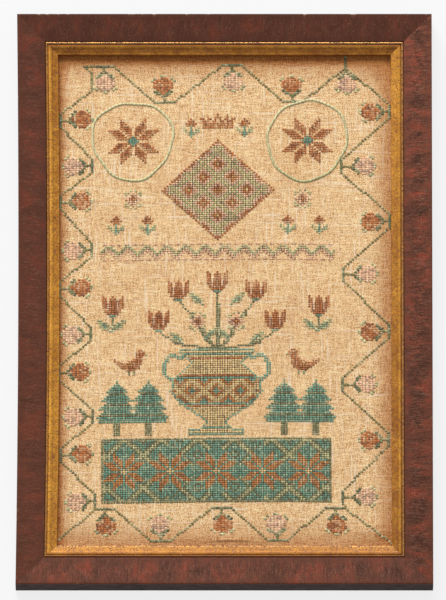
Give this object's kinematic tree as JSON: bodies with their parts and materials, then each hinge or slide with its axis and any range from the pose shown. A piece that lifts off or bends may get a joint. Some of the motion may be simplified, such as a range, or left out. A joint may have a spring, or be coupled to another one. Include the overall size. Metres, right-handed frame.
{
  "type": "framed cross stitch sampler",
  "caption": "Cross stitch sampler on tan wool cloth, with a strawberry vine border, held by a gilt slip in a flat mitred hardwood frame.",
  "frame": {"origin": "centre of the frame's flat back, which lies on the surface", "axes": "+X to the right of the work, +Y to its top, +Z out of its face"},
  "size_m": [0.333, 0.4724, 0.021],
  "materials": {
    "veneered_hardwood": "red-brown cross-grained veneer, old satin polish",
    "gilt_slip": "rubbed gold leaf over red-brown bole on wood",
    "tammy_cloth": "plain woven wool, tan, with slubs, and worked in wool cross stitch",
    "stitching_yarn": "twisted wool yarn in faded rust, pink, sage, teal and straw",
    "softwood_board": "bare planed softwood, aged"
  },
  "bodies": {
    "root": {"rail_top": "veneered_hardwood", "rail_bottom": "veneered_hardwood", "rail_left": "veneered_hardwood", "rail_right": "veneered_hardwood", "slip_top": "gilt_slip", "slip_bottom": "gilt_slip", "slip_left": "gilt_slip", "slip_right": "gilt_slip", "sampler_cloth": "tammy_cloth", "backing_board": "softwood_board"}
  },
  "joints": []
}
